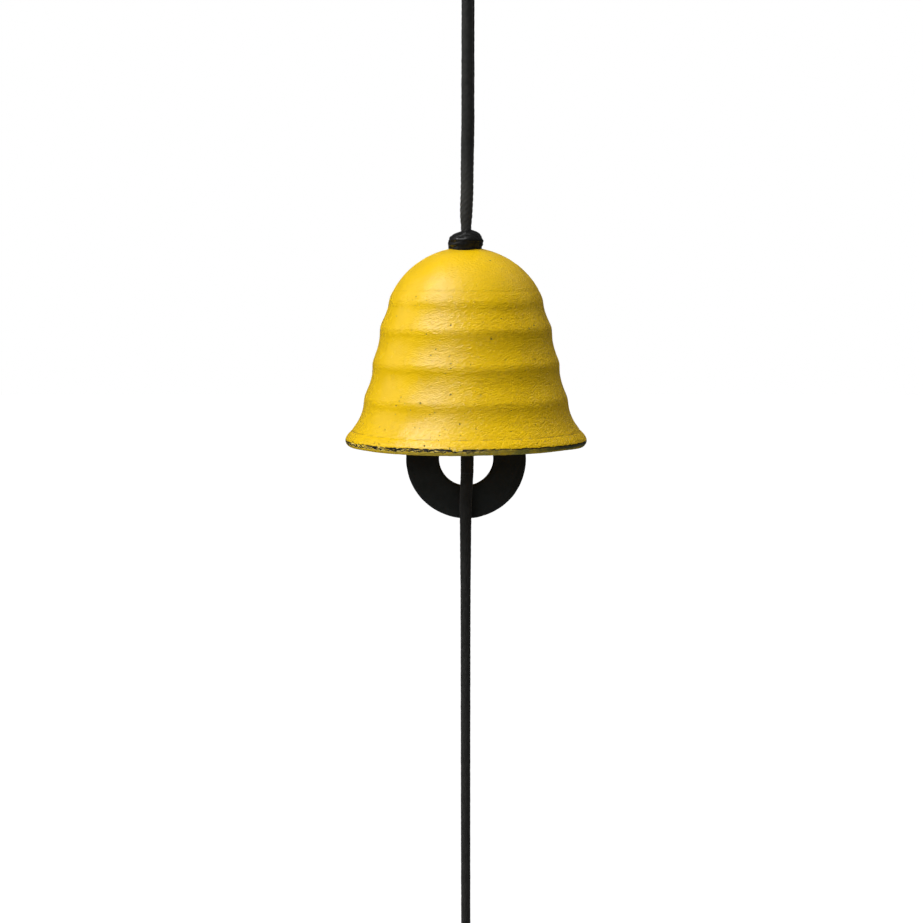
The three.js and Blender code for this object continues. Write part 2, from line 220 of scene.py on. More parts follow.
class Nodes:
    """Short ways to add shader nodes to one material."""

    def __init__(self, name):
        self.material = bpy.data.materials.new(name)
        self.material.use_nodes = True
        self.tree = self.material.node_tree
        self.shader = self.tree.nodes["Principled BSDF"]
        coords = self.tree.nodes.new("ShaderNodeTexCoord").outputs["Object"]
        self.mm = self.vector("SCALE", coords, scale=1000.0)

    def link(self, value, socket):
        if isinstance(value, bpy.types.NodeSocket):
            self.tree.links.new(value, socket)
        else:
            socket.default_value = value

    def vector(self, operation, a, b=None, scale=None):
        node = self.tree.nodes.new("ShaderNodeVectorMath")
        node.operation = operation
        self.link(a, node.inputs[0])
        if b is not None:
            self.link(b, node.inputs[1])
        if scale is not None:
            self.link(scale, node.inputs["Scale"])
        return node.outputs["Value" if operation == "LENGTH" else "Vector"]

    def math(self, operation, *values):
        node = self.tree.nodes.new("ShaderNodeMath")
        node.operation = operation
        for socket, value in zip(node.inputs, values):
            self.link(value, socket)
        return node.outputs[0]

    def fold(self, operation, first, *others):
        """One operation over several values, from the first to the last."""
        for value in others:
            first = self.math(operation, first, value)
        return first

    def times(self, *values):
        return self.fold("MULTIPLY", *values)

    def plus(self, *values):
        return self.fold("ADD", *values)

    def most(self, *values):
        return self.fold("MAXIMUM", *values)

    def minus(self, a, b):
        return self.math("SUBTRACT", a, b)

    def scaled(self, value, factor, offset):
        return self.math("MULTIPLY_ADD", value, factor, offset)

    def ramp(self, value, low, high, out_low=0.0, out_high=1.0):
        """A smooth step from out_low to out_high."""
        node = self.tree.nodes.new("ShaderNodeMapRange")
        node.interpolation_type = "SMOOTHSTEP"
        for socket, v in zip(node.inputs, (value, low, high, out_low, out_high)):
            self.link(v, socket)
        return node.outputs[0]

    def noise(self, size, at=None, detail=2.0, rough=0.5):
        """Noise whose blots are about size millimetres, from 0 to 1."""
        node = self.tree.nodes.new("ShaderNodeTexNoise")
        self.link(self.mm if at is None else at, node.inputs["Vector"])
        for name, v in (("Scale", 1.0 / size), ("Detail", detail), ("Roughness", rough)):
            node.inputs[name].default_value = v
        return node.outputs[0]

    def pushed(self, at, size, reach):
        """Coordinates pushed about by noise with blots of this size, by up to half of reach to each side."""
        node = self.tree.nodes.new("ShaderNodeTexNoise")
        self.link(self.mm, node.inputs["Vector"])
        node.inputs["Scale"].default_value = 1.0 / size
        push = self.vector("SUBTRACT", node.outputs["Color"], (0.5, 0.5, 0.5))
        return self.vector("ADD", at, self.vector("SCALE", push, scale=reach))

    def cells(self, size, at):
        """Distance to the nearest of scattered points, in cells, and a random colour for each point."""
        node = self.tree.nodes.new("ShaderNodeTexVoronoi")
        self.link(at, node.inputs["Vector"])
        node.inputs["Scale"].default_value = 1.0 / size
        return node.outputs["Distance"], node.outputs["Color"]

    def twisted(self, turn, upright):
        """Coordinates turned about Z by so many radians a millimetre up, with their height scaled."""
        node = self.tree.nodes.new("ShaderNodeVectorRotate")
        node.rotation_type = "Z_AXIS"
        self.link(self.mm, node.inputs["Vector"])
        self.link(self.times(self.split(self.mm)[2], -turn), node.inputs["Angle"])
        return self.vector("MULTIPLY", node.outputs[0], (1.0, 1.0, upright))

    def split(self, vector):
        node = self.tree.nodes.new("ShaderNodeSeparateXYZ")
        self.link(vector, node.inputs[0])
        return node.outputs

    def mix(self, factor, a, b):
        node = self.tree.nodes.new("ShaderNodeMix")
        node.data_type = "RGBA"
        self.link(factor, node.inputs["Factor"])
        self.link(a, node.inputs[MIX_A])
        self.link(b, node.inputs[MIX_B])
        return node.outputs[MIX_RESULT]

    def bump(self, height, depth, normal=None):
        """Height from 0 to 1 as relief of depth millimetres."""
        node = self.tree.nodes.new("ShaderNodeBump")
        node.inputs["Strength"].default_value = 1.0
        node.inputs["Distance"].default_value = depth * MM
        self.link(height, node.inputs["Height"])
        if normal is not None:
            self.link(normal, node.inputs["Normal"])
        return node.outputs[0]

    def set(self, **sockets):
        """Set or link the shader's sockets, named with _ for a space."""
        for name, value in sockets.items():
            self.link(value, self.shader.inputs[name.replace("_", " ")])
        return self.material


# The bell's paint and the iron under it
YELLOW_LOW, YELLOW_HIGH = (0.78, 0.485, 0.0008, 1), (0.84, 0.53, 0.0016, 1)
# painted shade in the dents' hollows
DENT_SHADE_YELLOW = (0.56, 0.345, 0.0005, 1)
# painted highlight on the chips' edges
CHIP_EDGE_HIGHLIGHT_YELLOW = (0.86, 0.66, 0.16, 1)
# paint worn thinner on the lip, also painted shade on its underside to the right
THIN_PAINT_AND_SHADE = (0.22, 0.21, 0.04, 1)
# painted shade in the turned lines' grooves
LINE_SHADE_BROWN = (0.2, 0.11, 0.001, 1)
# painted shade in pits and nicks
PIT_SHADE_BROWN = (0.05, 0.028, 0.001, 1)
BARE_IRON, SHADED_IRON = (0.065, 0.075, 0.04, 1), (0.004, 0.004, 0.003, 1)
PEEL_DEPTH, CREASE_DEPTH, DENT_DEPTH, CHIP_DEPTH = 0.05, 0.17, 0.098, 0.16


def dent_pattern(n, x, height):
    """Many small slanting dents, deeper to the right and below the dome, and the painted shade in their
    hollows, stronger to the right.
    """
    slant = n.twisted(0.07, 1.5)
    dimple, _ = n.cells(0.62, at=n.pushed(slant, 0.7, 0.5))
    worn = n.times(n.ramp(height, 44.0, 33.0, 0.7, 1.0), n.ramp(x, -18.0, 12.0, 0.42, 1.45))
    dents = n.times(n.scaled(n.noise(0.45, at=slant, detail=1.0), 0.6, dimple), worn)
    # Painted shade in the dents' hollows, stronger to the right
    painted_dent_shade = n.times(n.ramp(dimple, 0.4, 0.1), n.ramp(x, -20.0, 16.0, 0.0, 0.6))
    return dents, painted_dent_shade


def crease_pattern(n, height):
    """Creases in the casting's skin, under the shoulder and under each ridge."""
    creases = n.noise(0.65, at=n.vector("MULTIPLY", n.mm, (0.5, 0.5, 1.3)))
    bands = []
    for ridge in (SHOULDER_H, *(row[0] for row in RIDGES)):
        lower = n.ramp(height, ridge - 2.6, ridge - 1.0)
        upper = n.ramp(height, ridge + 0.8, ridge - 0.4)
        bands.append(n.times(lower, upper))
    return n.times(creases, n.plus(*bands))


def pit_pattern(n, height):
    """Nicks and pits, in clusters and mostly low down; their dark colour is painted shade."""
    near, cell = n.cells(0.95, at=n.vector("MULTIPLY", n.pushed(n.mm, 0.5, 0.9), (0.8, 0.8, 1.25)))
    pick = n.split(cell)
    cluster = n.ramp(n.noise(6.0), 0.45, 0.65, 0.06, -0.22)
    chosen = n.math("GREATER_THAN", pick[0], n.plus(n.ramp(height, 40.0, 10.0, 0.996, 0.80), cluster))
    size = n.scaled(pick[1], 0.16, 0.10)
    return n.times(chosen, n.ramp(near, size, n.times(size, 0.45)))


def line_shade_pattern(n, height):
    """Turned lines near the shoulder and the lip, broken here and there, darkened with painted shade in their
    grooves.
    """
    lines = []
    for level, least, dark in SCRIBED:
        middle = n.scaled(n.noise(4.0), 0.3, level - 0.15)
        off = n.math("ABSOLUTE", n.minus(height, middle))
        broken = n.ramp(n.noise(2.6, detail=3.0), least, least + 0.2)
        lines.append(n.times(n.ramp(off, 0.14, 0.05), broken, dark))
    return n.plus(*lines)


def lip_wear(n, x, y, height, radius, colour):
    """Paint chipped off along the lip: two ragged lines that meet and part, paint worn thinner below them and
    to the right, with painted shade that darkens it towards the right, and bare iron at the far right. Gives
    the colour of the paint, the chips and the colour in them."""
    bare = n.ramp(x, 14.0, 25.0)
    thinned = n.ramp(x, -3.0, 9.0)
    rim = n.ramp(radius, 28.4, 28.9)
    lift = n.ramp(y, -13.0, -30.0, 0.0, 0.22)
    wander = n.scaled(n.noise(1.0, detail=4.0, rough=0.7), 0.6, n.times(n.noise(3.2), 0.5))
    below = n.minus(n.plus(wander, 0.9, lift), height)
    edge = n.ramp(below, 0.0, 0.1)
    # The upper line is thick here, thin there and has gaps, and the second one wanders below it
    thick = n.times(n.scaled(n.noise(1.7, detail=3.0), 1.1, -0.12), n.scaled(thinned, -0.5, 1.0))
    gaps = n.ramp(n.scaled(bare, 0.3, n.noise(1.4)), 0.38, 0.45)
    brink = n.times(edge, n.ramp(below, n.plus(thick, 0.1), thick), gaps)
    level = n.times(n.noise(0.9, at=n.vector("ADD", n.mm, (40.0, 0.0, 0.0))), 1.3)
    second = n.ramp(n.math("ABSOLUTE", n.minus(below, level)), 0.19, 0.1)
    fewer = n.scaled(thinned, -0.8, 1.0)
    second = n.times(second, edge, fewer)
    base = n.times(edge, bare, n.ramp(height, 0.5, 0.8))
    chip = n.times(n.most(second, brink, base), rim)
    iron = n.mix(n.most(brink, n.minus(1.0, bare)), BARE_IRON, SHADED_IRON)
    # Painted highlights as pale flecks between the two lines, where chip edges catch the light, and paint
    # worn thinner below them
    specks = n.ramp(n.noise(0.6), 0.4, 0.52)
    painted_fleck_highlight = n.times(edge, rim, n.ramp(below, 1.0, 0.8), specks, fewer)
    colour = n.mix(painted_fleck_highlight, colour, CHIP_EDGE_HIGHLIGHT_YELLOW)
    # Paint worn thinner below the lines and on the underside: partly real wear, partly painted shade that
    # grows to the right
    thin_paint_and_shade = n.most(n.ramp(height, 1.1, 0.6), n.times(edge, thinned))
    thin_paint_and_shade = n.times(thin_paint_and_shade, n.ramp(x, -30.0, 8.0, 0.3, 0.95), n.ramp(radius, 26.4, 27.4))
    thin_paint_and_shade = n.times(thin_paint_and_shade, n.ramp(n.noise(3.0, detail=3.0), 0.3, 0.6, 0.5, 1.0))
    return n.mix(thin_paint_and_shade, colour, THIN_PAINT_AND_SHADE), chip, iron


def bell_paint():
    """Yellow paint on a rough casting, worn along the lip."""
    n = Nodes("yellow_paint")
    x, y, z = n.split(n.mm)
    height = n.minus(z, LIP_Z)
    radius = n.vector("LENGTH", n.vector("MULTIPLY", n.mm, (1.0, 1.0, 0.0)))
    dents, painted_dent_shade = dent_pattern(n, x, height)
    pit = pit_pattern(n, height)
    colour = n.mix(n.ramp(n.noise(9.0, detail=3.0), 0.3, 0.7), YELLOW_LOW, YELLOW_HIGH)
    # Painted shade in the dents' hollows
    colour = n.mix(painted_dent_shade, colour, DENT_SHADE_YELLOW)
    colour, chip, iron = lip_wear(n, x, y, height, radius, colour)
    # Painted shade in the turned lines
    colour = n.mix(line_shade_pattern(n, height), colour, LINE_SHADE_BROWN)
    # Painted shade in the pits and nicks
    colour = n.mix(pit, colour, PIT_SHADE_BROWN)
    colour = n.mix(chip, colour, iron)
    broken = n.most(pit, chip)
    relief = n.bump(n.noise(1.3), PEEL_DEPTH)
    relief = n.bump(crease_pattern(n, height), CREASE_DEPTH, relief)
    relief = n.bump(dents, DENT_DEPTH, relief)
    relief = n.bump(n.minus(1.0, broken), CHIP_DEPTH, relief)
    rough = n.plus(n.ramp(n.noise(2.6), 0.25, 0.75, 0.21, 0.29), n.ramp(height, 33.0, 40.0, 0.0, 0.1))
    rough = n.plus(rough, n.times(broken, 0.25))
    return n.set(Base_Color=colour, Roughness=rough, Specular_IOR_Level=0.5, Normal=relief)


# The clapper's iron and the cord
RING_DARK, RING_LIGHT = (0.015, 0.0165, 0.016, 1), (0.0195, 0.0215, 0.021, 1)
WAX_GREY, WAX_SMOOTHS = (0.034, 0.034, 0.031, 1), 0.34
WARMTH = 0.94  # blue in the cord's black, as a share of red and green
DOWN_CORD, ROUND_KNOT = (1.0, 1.0, 0.35), (0.35, 0.35, 2.0)  # the scale of the fibres along each axis


def black_iron():
    """Matt black iron, uneven as cast."""
    n = Nodes("black_iron")
    colour = n.mix(n.ramp(n.noise(3.5, detail=3.0), 0.3, 0.75), RING_DARK, RING_LIGHT)
    relief = n.bump(n.noise(1.1, detail=3.0), 0.12)
    relief = n.bump(n.noise(0.3), 0.03, relief)
    rough = n.ramp(n.noise(1.8), 0.3, 0.7, 0.55, 0.7)
    return n.set(Base_Color=colour, Roughness=rough, Specular_IOR_Level=0.2, Normal=relief)


def black_cord(name, grey, rough, gloss, fibre, drawn, fuzz, waxed=None):
    """Black yarn: its darkest and lightest grey, its least and greatest roughness, its gloss, how far its
    fibres stand out, their scale along each axis, and its fuzz. Wax makes it smoother and greyer below the
    first height of waxed, and fades out up to the second."""
    n = Nodes(name)
    along = n.vector("MULTIPLY", n.mm, drawn)
    dark, light = [(level, level, level * WARMTH, 1) for level in grey]
    colour = n.mix(n.ramp(n.noise(0.7, at=along, detail=3.0), 0.3, 0.7), dark, light)
    relief = n.bump(n.noise(0.3, at=along), fibre)
    roughness = n.ramp(n.noise(1.5), 0.3, 0.7, *rough)
    if waxed:
        wax = n.ramp(n.split(n.mm)[2], *waxed, 1.0, 0.0)
        roughness = n.scaled(wax, -WAX_SMOOTHS, roughness)
        colour = n.mix(wax, colour, WAX_GREY)
    return n.set(
        Base_Color=colour, Roughness=roughness, Specular_IOR_Level=gloss, Sheen_Weight=fuzz, Normal=relief)


PAINT = bell_paint()
IRON = black_iron()
CORD = black_cord(
    "black_cord", grey=(0.014, 0.021), rough=(0.62, 0.80), gloss=0.25, fibre=0.05, drawn=DOWN_CORD, fuzz=0.08)
STRAND = black_cord(
    "strand_cord", grey=(0.012, 0.018), rough=(0.62, 0.80), gloss=0.3, fibre=0.05, drawn=DOWN_CORD, fuzz=0.08,
    waxed=(-82.0, -69.0))
KNOT = black_cord(
    "waxed_knot", grey=(0.005, 0.009), rough=(0.3, 0.4), gloss=0.42, fibre=0.015, drawn=ROUND_KNOT, fuzz=0.0)


def dress(obj, material, nodes, body=None):
    """Give a piece its material, the body it rides on and the nodes it stands for."""
    obj.data.materials.clear()
    obj.data.materials.append(material)
    if body:
        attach(obj, body)
    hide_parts(*nodes)
    return obj


# Camera
CAMERA_AT = (-0.00112, -0.4012, -0.10335)
CAMERA_DOWN = 6.264  # degrees that it looks down
SENSOR_WIDTH, LENS, CLIP_START = 36.0, 62.85, 0.01
camera = bpy.data.objects.new("camera", bpy.data.cameras.new("camera"))
bpy.context.collection.objects.link(camera)
camera.data.sensor_width = SENSOR_WIDTH
camera.data.lens = LENS
camera.data.clip_start = CLIP_START
camera.location = CAMERA_AT
camera.rotation_euler = (math.radians(90 - CAMERA_DOWN), 0, 0)
bpy.context.scene.camera = camera

# Cords
YARNS, LAY = 6, 8.6  # twisted yarns, and the length in which they go round once
YARN_DEPTH, YARN_ROUND = 0.025, 0.7  # depth of the grooves, as a share of the radius, and their shape
CORD_UNEVEN, CORD_FUZZ = 0.02, 0.025  # how much the thickness and the skin vary, as shares of the radius
CORD_SIDES, FUZZ_SIDES = 36, 4  # sides of a cord, and how many of them share one value of its skin
STEP = 0.3
SINK = 2.0  # how far a cord's end runs into its knot
KNOT_GAP = 0.3  # how far outside its knot a cord's own course starts


def cord_radii(run, seed, scale, depth):
    """How far a cord of twisted yarns reaches on each side of each of its points."""
    theta = angles(CORD_SIDES)
    turn = theta[None] - 2 * np.pi * run[:, None] / LAY
    crest = np.abs(np.cos(YARNS * turn / 2)) ** YARN_ROUND
    r = CORD_R * (1 - np.reshape(depth, (-1, 1)) * (1 - crest))
    slow = np.array([1 + CORD_UNEVEN * noise.noise(Vector((seed, 3.1, d * 0.25))) for d in run])
    skin = np.array([[round_noise(1.4, a, d * 0.8, seed) for a in theta[::FUZZ_SIDES]] for d in run])
    r = r * slow[:, None] * (1 + CORD_FUZZ * np.repeat(skin, FUZZ_SIDES, axis=1))
    return r * np.reshape(scale, (-1, 1))


def cord_piece(name, points, seed, scale=1.0, part=slice(None), depth=YARN_DEPTH):
    """A cord along points, or along a part of them."""
    radii = cord_radii(run_of(points), seed, scale, depth)
    u, v = across(points)
    return new_mesh(name, *sweep(points[part], radii[part], (u[part], v[part])))


# The hanging eye goes up on one side, round a bend and down on the other
EYE_BEND_START, EYE_BEND_TURN, EYE_BEND_STEPS = -25, 230, 8  # degrees, and steps on the way round
foot = LOOP_KNOT_Z + LOOP_KNOT_R + KNOT_GAP
eye_route = [(0, STRAND_SPREAD * 0.9, foot - SINK), (0, STRAND_SPREAD, foot),
             (0, STRAND_SPREAD, foot + 2 * CORD_R)]
other_side = [(0, -y, z) for _, y, z in reversed(eye_route)]
for step in range(EYE_BEND_STEPS + 1):
    a = math.radians(EYE_BEND_START + EYE_BEND_TURN * step / EYE_BEND_STEPS)
    eye_route.append((0, EYE_BEND_R * math.cos(a), CORD_R - EYE_BEND_R + EYE_BEND_R * math.sin(a)))
eye_line = smooth_line(eye_route + other_side, STEP)
eye = dress(cord_piece("eye_cord", eye_line, seed=1.0), CORD, ["hanging_eye"], "hanger")

# The two strands lean a little to the right on their way up, and are drawn in where the crown's knot begins
STRAND_TOP, STRAND_FOOT = LOOP_KNOT_Z - LOOP_KNOT_R - KNOT_GAP, CROWN_KNOT_Z + 2.6
STRAND_LEAN, STRAND_SWELL = 0.47, 1.08
DRAWN_IN, DRAWN_OUT = 0.72, 0.06  # share of the spread at the knot, and what each millimetre up adds to it
# By height above their foot: share of the lean, share of the cord's thickness, and depth of the grooves
LEAN_TABLE = ((0, 0), (2.5, 0.02), (4, 0.15), (7, 0.52), (16, 0.6), (24, 0.95), (60, 1))
WAIST_TABLE = ((0, 0.96), (1.0, 1.02), (2.5, 1.12), (4.5, 1.17), (20.0, 1.15), (56.0, 1.0))
GROOVE_TABLE = ((6.0, 0.11), (19.0, YARN_DEPTH))
for side, name, node in ((-1, "front_strand", "hanging_cord_front"), (1, "rear_strand", "hanging_cord_rear")):
    route = []
    for z in np.linspace(STRAND_TOP + SINK, STRAND_FOOT - SINK * 0.7, 13):
        up = max(0.0, z - STRAND_FOOT)
        turn = STRAND_TURN * min(1.0, up / (STRAND_TOP - STRAND_FOOT))
        spread = side * STRAND_SPREAD * min(1.0, DRAWN_IN + DRAWN_OUT * up)
        lean = STRAND_LEAN * by_table(LEAN_TABLE, up)
        route.append((spread * math.sin(turn) + lean, spread * math.cos(turn), z))
    line = smooth_line(route, STEP)
    up = line[:, 2] - STRAND_FOOT
    strand = cord_piece(name, line, 2.0 + side, by_table(WAIST_TABLE, up), depth=by_table(GROOVE_TABLE, up))
    dress(strand, STRAND, [node], "suspension")

neck_line = smooth_line([(0, 0, CROWN_Z + 1.5), (0, 0, CROWN_Z - 1.5), (0, 0, INNER_KNOT_Z + 2.5)], STEP)
dress(cord_piece("neck_strand", neck_line, seed=5.0), CORD, ["neck_cord"], "suspension")

# The clapper's cord, its hitch on the ring and the wind cord are one line, cut where the ring lets go of it
CORD_FRONT = 3.45  # from the ring's middle to the cord before it
HITCH_PITCH = 3.4
HITCH_OVER, HITCH_UNDER = 13.9, 7.4115  # the hitch's upper and lower bends, above the ring's middle
HITCH_LEAD = 10.0  # height in which the cord comes to the hitch
HITCH_TOP = HITCH_OVER + CORD_FRONT + HITCH_LEAD
DROP_TOP, DROP_X = -3.0385, 0.27  # where the drop before the ring starts, from the ring's middle
LEAD_Z, BELOW_RING_Z = (-112.0, -116.0), (-157.0, -161.0)  # places on the way to the ring, and below it
WIND_X, WIND_BOW = -0.1, 0.2  # how far the wind cord hangs to the left, and how far it bows to the back
WIND_TOP_Z, WIND_RUN = -164.7, 108.65
# Thickness of that line by height, as a share of the cord's
WIND_TABLE = ((-275.0, 0.88), (-190.0, 0.93), (-179.0, 0.96), (-163.0, 1.07), (-150.0, 1.2), (-143.0, 1.24),
              (-138.0, 1.05))
hitch = [(0, 0, HITCH_TOP), (0, 0, HITCH_TOP - 2 * CORD_R),
         (-HITCH_PITCH, -0.5 * CORD_FRONT, HITCH_OVER + CORD_FRONT + 0.25 * HITCH_LEAD)]
for step in range(2, 15):
    turn = (step + 0.5) * math.pi / 6
    middle = HITCH_OVER if math.cos(turn) > 0 else HITCH_UNDER
    hitch.append((HITCH_PITCH * (turn / (2 * math.pi) - 1.25), -CORD_FRONT * math.sin(turn),
                  middle + CORD_FRONT * math.cos(turn)))
for level in (HITCH_UNDER + CORD_FRONT, HITCH_UNDER, HITCH_UNDER - CORD_FRONT, DROP_TOP):
    hitch.append((DROP_X, -CORD_FRONT, level))
route = [(0, 0, z) for z in (INNER_KNOT_Z - INNER_KNOT_R + 1.7, *LEAD_Z)]
route += [(x, y, z + RING_Z) for x, y, z in hitch]
route += [(WIND_X, -CORD_FRONT, z) for z in BELOW_RING_Z]
for down in np.linspace(0, 1, 16):
    bow = WIND_BOW * math.sin(math.pi * down)
    route.append((WIND_X - WIND_X * down ** 4, bow - CORD_FRONT, WIND_TOP_Z - WIND_RUN * down))
route.append((0, -CORD_FRONT, END_KNOT_Z + 1.6))
lower_line = smooth_line(route, STEP)
thickness = by_table(WIND_TABLE, lower_line[:, 2])
cut = int(np.argmax(lower_line[:, 2] < RING_Z + DROP_TOP - 0.2))
clapper_line = cord_piece("clapper_line", lower_line, 7.0, thickness, slice(0, cut + 1))
dress(clapper_line, CORD, ["clapper_cord", "clapper_hitch"], "clapper")
wind_line = cord_piece("wind_line", lower_line, 7.0, thickness, slice(cut, None))
dress(wind_line, CORD, ["drop_cord", "wind_cord"])
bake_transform(wind_line)

# The tail below the end knot is a little frayed at its end
tail_route = [(0, -CORD_FRONT, END_KNOT_Z - 1.5), (0.1, -CORD_FRONT, -284.0),
              (0.0, -CORD_FRONT, TAIL_END_Z + 0.05)]
tail_line = smooth_line(tail_route, STEP)
frayed = by_table(((TAIL_END_Z, 1.08), (TAIL_END_Z + 2.0, 0.97)), tail_line[:, 2])
tail = dress(cord_piece("tail", tail_line, seed=9.0, scale=frayed), CORD, ["cord_tail"], "wind_cord")


# Round knots
KNOT_VOXEL, KNOT_SMOOTHING = 0.11, 3
KNOT_STEP, TURN_SIDES = 0.25, 20
COIL_TURNS, COIL_STEPS = 3.0, 14  # turns in a knot, and points in a turn
COIL_LEAN, COIL_SHIFT = 0.12, 0.1  # how steeply the turns lean, and how far they move sideways
COIL_TAPER = 0.18  # how much smaller the first and last turns are


def coil(start, radius, reach):
    """Turns of cord about Z, from reach below the middle to reach above it."""
    route = []
    count = int(COIL_TURNS * COIL_STEPS)
    for i in range(count + 1):
        t = i / count
        a = start + 2 * math.pi * COIL_TURNS * t
        r = radius * (1 - COIL_TAPER * (2 * t - 1) ** 2)
        x, y = r * math.cos(a), r * math.sin(a)
        route.append((x + COIL_SHIFT * (2 * t - 1), y, -reach + 2 * reach * t + COIL_LEAN * x))
    return route


def flat_tube(route, wide, tall):
    """Vertices and faces of a tube along a route that reaches so far to its sides, and so far up and down."""
    line = smooth_line(route, KNOT_STEP)
    verts, faces = sweep(line, np.full((len(line), TURN_SIDES), wide))
    level = np.concatenate([np.repeat(line[:, 2], TURN_SIDES), line[[0, -1], 2]])
    verts[:, 2] = level + (verts[:, 2] - level) * tall / wide
    return verts, faces


def ball(size):
    """Vertices and faces of a ball that reaches so far along each axis."""
    rings, sides, tip = 16, 24, 0.02
    polar, around = np.linspace(tip, np.pi - tip, rings)[:, None], angles(sides)[None]
    x, y = np.sin(polar) * np.cos(around), np.sin(polar) * np.sin(around)
    verts = np.stack([x, y, np.cos(polar) * np.ones(sides)[None]], axis=-1).reshape(-1, 3)
    faces = [tuple(reversed(q)) for q in grid_faces(rings, sides)]
    faces += [tuple(range(sides)), tuple(reversed(range((rings - 1) * sides, rings * sides)))]
    return verts * np.asarray(size), faces


def one_skin(obj):
    """Join all that a piece's mesh holds into one soft skin."""
    skin = obj.modifiers.new("skin", "REMESH")
    skin.mode = "VOXEL"
    skin.voxel_size = KNOT_VOXEL * MM
    skin.use_smooth_shade = True
    soft = obj.modifiers.new("soft", "SMOOTH")
    soft.factor = 0.5
    soft.iterations = KNOT_SMOOTHING
    mesh = bpy.data.meshes.new_from_object(obj.evaluated_get(bpy.context.evaluated_depsgraph_get()))
    obj.modifiers.clear()
    old, obj.data = obj.data, mesh
    mesh.name = obj.name
    bpy.data.meshes.remove(old)


def round_knot(name, middle, radius, seed):
    """Flattened turns of cord about a core, with one turn over them, pulled into one waxed skin."""
    height = 2 * radius
    # All its measures are shares of its radius and height
    wide, tall = 0.34 * radius, 0.16 * height
    over = [(0.2 * radius, 0, 0.46 * height), (0.75 * radius, -0.35 * radius, 0.30 * height),
            (0.72 * radius, -0.55 * radius, -0.05 * height), (0.45 * radius, -0.62 * radius, -0.30 * height),
            (0.0, -0.2 * radius, -0.44 * height)]
    spin = Matrix.Rotation(seed, 3, "Z")
    over = [tuple(spin @ Vector(p)) for p in over]
    turns = coil(seed, radius - wide, 0.5 * height - tall * 1.1)
    core = (0.72 * radius, 0.72 * radius, 0.48 * height)
    verts, faces, base = [], [], 0
    for part, part_faces in (flat_tube(turns, wide, tall), flat_tube(over, wide, wide), ball(core)):
        verts.append(part)
        faces += [tuple(i + base for i in face) for face in part_faces]
        base += len(part)
    obj = new_mesh(name, np.vstack(verts) + np.asarray(middle), faces)
    one_skin(obj)
    wrinkle(obj, depth=0.035, size=0.8, seed=seed)
    return obj


# Outline of the crown's knot from the bell up: height, reach to the left and reach to the right
CROWN_OUTLINE = ((-1.0, -4.3, 3.8), (-0.1, -4.33, 3.85), (0.8, -4.38, 3.97), (1.6, -4.42, 4.15),
                 (2.35, -4.29, 4.22), (3.1, -3.98, 3.9), (3.85, -2.93, 3.45), (4.4, -1.5, 2.7),
                 (4.85, -0.95, 1.3), (5.1, -0.6, 0.7))
CROWN_DEEPER = 1.9  # it goes round two strands, one behind the other
DEEPER_TABLE = ((2.8, 1.0), (5.2, 0.4))  # the share of that by height
BITE_TABLE = ((-0.6, 1.0), (0.2, 3.2))  # how deep its grooves are from the front, -1, to the back, 1
CROWN_EDGES = (-1.2, 0.85, 1.75, 2.75, 3.52, 4.3, 5.6)  # heights between which each turn of cord lies
EDGE_LEAN, EDGE_WANDER = 0.22, 0.3  # how far the edges lean and wander around the knot
# Lumps and grooves: degrees to the right of the front, height, reach around, reach up and down, how far out
CROWN_LUMPS = ((-50, 1.05, 13, 0.35, 0.30), (-48, 1.75, 20, 0.22, -0.20), (-42, 2.35, 15, 0.40, 0.12),
               (-20, 3.10, 11, 0.26, 0.24), (-18, 2.72, 14, 0.18, -0.16), (-10, 3.95, 11, 0.20, 0.16),
               (0, 3.55, 20, 0.20, -0.10), (30, 2.20, 25, 0.35, 0.08), (75, 2.00, 25, 0.50, 0.14),
               (100, 1.20, 25, 0.40, 0.15), (120, 2.60, 40, 0.40, -0.15), (165, 1.20, 30, 0.40, -0.15),
               (-150, 3.40, 35, 0.40, -0.15), (-120, 1.60, 25, 0.40, 0.15))
CROWN_STEP, CROWN_SIDES, PRESSED_GAP = 0.06, 260, 0.03


